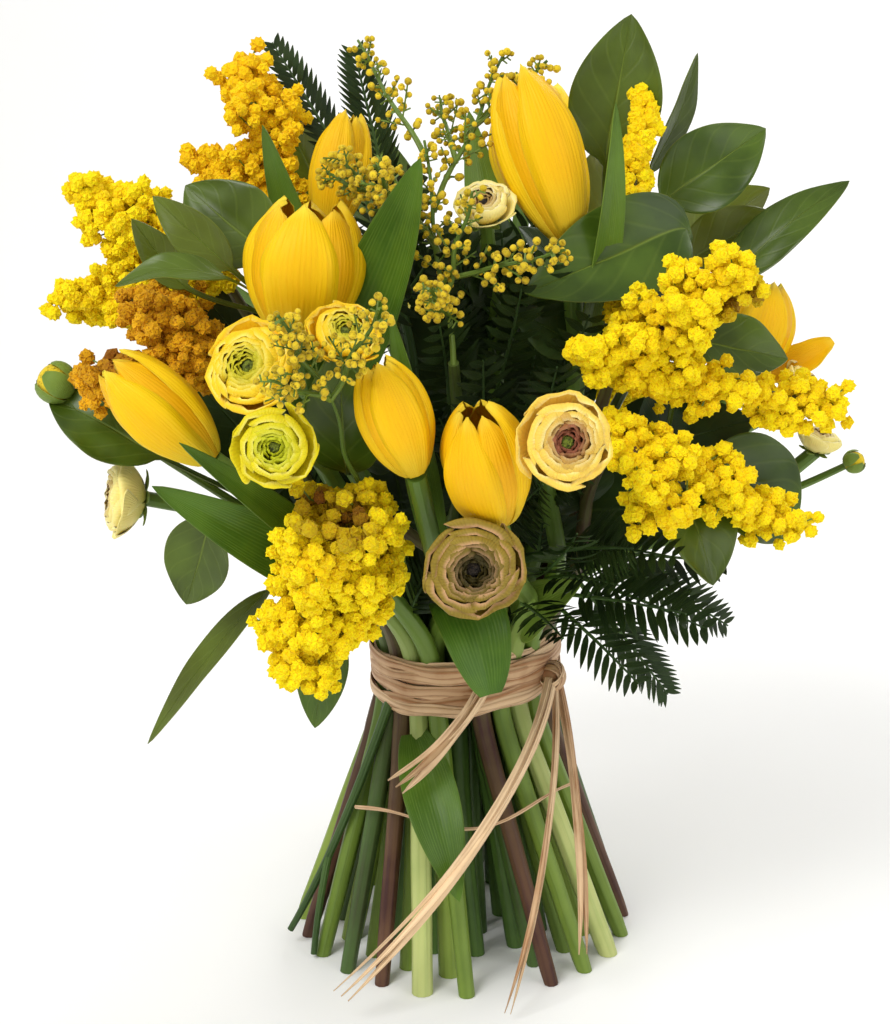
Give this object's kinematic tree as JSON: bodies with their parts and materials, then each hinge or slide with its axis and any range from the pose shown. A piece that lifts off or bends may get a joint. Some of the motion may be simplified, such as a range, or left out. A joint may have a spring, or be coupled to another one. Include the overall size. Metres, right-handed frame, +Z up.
{
  "type": "hand-tied bunch of tulips and spring flowers",
  "caption": "Standing hand-tied bunch of tulips with ranunculus, mimosa and leaves, bound at the waist with raffia.",
  "frame": {"origin": "middle of the splayed cut ends, on the surface that the bunch stands on", "axes": "+Z up along the bunch, -Y towards the viewer of its front, +X to the viewer's right"},
  "size_m": [0.362, 0.3109, 0.4362],
  "materials": {
    "tulip_petal": "smooth waxy petal, golden yellow with orange folds and fine lengthwise veins",
    "ranunculus_petal": "thin soft petal, butter to cream yellow, paler at the rims",
    "ranunculus_lemon": "thin soft petal, lime yellow with pale rims",
    "ranunculus_bronze": "thin soft petal, khaki bronze with pinkish brown rims",
    "mimosa_yellow": "fluffy bright lemon balls of fine bristles",
    "mimosa_ochre": "fluffy balls, aged to ochre",
    "mimosa_bud": "small knobbly buds, olive yellow, on thin green-brown twigs",
    "stem_green": "juicy smooth green stem",
    "branch_green": "glossy mid to dark green leaves on a woody branch",
    "dark_foliage": "dark green feathery foliage, matt",
    "raffia": "dry tan raffia in flat split strands"
  },
  "bodies": {
    "root": {"tulip_1_bloom": "tulip_petal", "tulip_1_stem": "stem_green", "tulip_2_bloom": "tulip_petal", "tulip_2_stem": "stem_green", "tulip_3_bloom": "tulip_petal", "tulip_3_stem": "stem_green", "tulip_4_bloom": "tulip_petal", "tulip_4_stem": "stem_green", "tulip_5_bloom": "tulip_petal", "tulip_5_stem": "stem_green", "tulip_6_bloom": "tulip_petal", "tulip_6_stem": "stem_green", "tulip_7_bloom": "tulip_petal", "tulip_7_stem": "stem_green", "tulip_8_bloom": "tulip_petal", "tulip_8_stem": "stem_green", "tulip_9_bloom": "tulip_petal", "tulip_9_stem": "stem_green", "ranunculus_1_bloom": "ranunculus_petal", "ranunculus_1_stem": "stem_green", "ranunculus_2_bloom": "ranunculus_petal", "ranunculus_2_stem": "stem_green", "ranunculus_3_bloom": "ranunculus_lemon", "ranunculus_3_stem": "stem_green", "ranunculus_4_bloom": "ranunculus_petal", "ranunculus_4_stem": "stem_green", "ranunculus_5_bloom": "ranunculus_bronze", "ranunculus_5_stem": "stem_green", "ranunculus_6_bloom": "ranunculus_petal", "ranunculus_6_stem": "stem_green", "ranunculus_7_bloom": "ranunculus_petal", "ranunculus_7_stem": "stem_green", "ranunculus_8_bloom": "ranunculus_petal", "ranunculus_8_stem": "stem_green", "ranunculus_9_bloom": "ranunculus_petal", "ranunculus_9_stem": "stem_green", "ranunculus_10_bloom": "ranunculus_lemon", "ranunculus_10_stem": "stem_green", "ranunculus_11_bloom": "ranunculus_petal", "ranunculus_11_stem": "stem_green", "mimosa_1": "mimosa_yellow", "mimosa_2": "mimosa_yellow", "mimosa_3": "mimosa_yellow", "mimosa_4": "mimosa_yellow", "mimosa_5": "mimosa_ochre", "mimosa_6": "mimosa_ochre", "mimosa_7": "mimosa_yellow", "mimosa_8": "mimosa_yellow", "mimosa_9": "mimosa_bud", "leafy_branch_1": "branch_green", "leafy_branch_2": "branch_green", "leafy_branch_3": "branch_green", "leafy_branch_4": "branch_green", "leafy_branch_5": "branch_green", "leafy_branch_6": "branch_green", "leafy_branch_7": "branch_green", "inner_foliage": "dark_foliage", "raffia_tie": "raffia"}
  },
  "joints": []
}
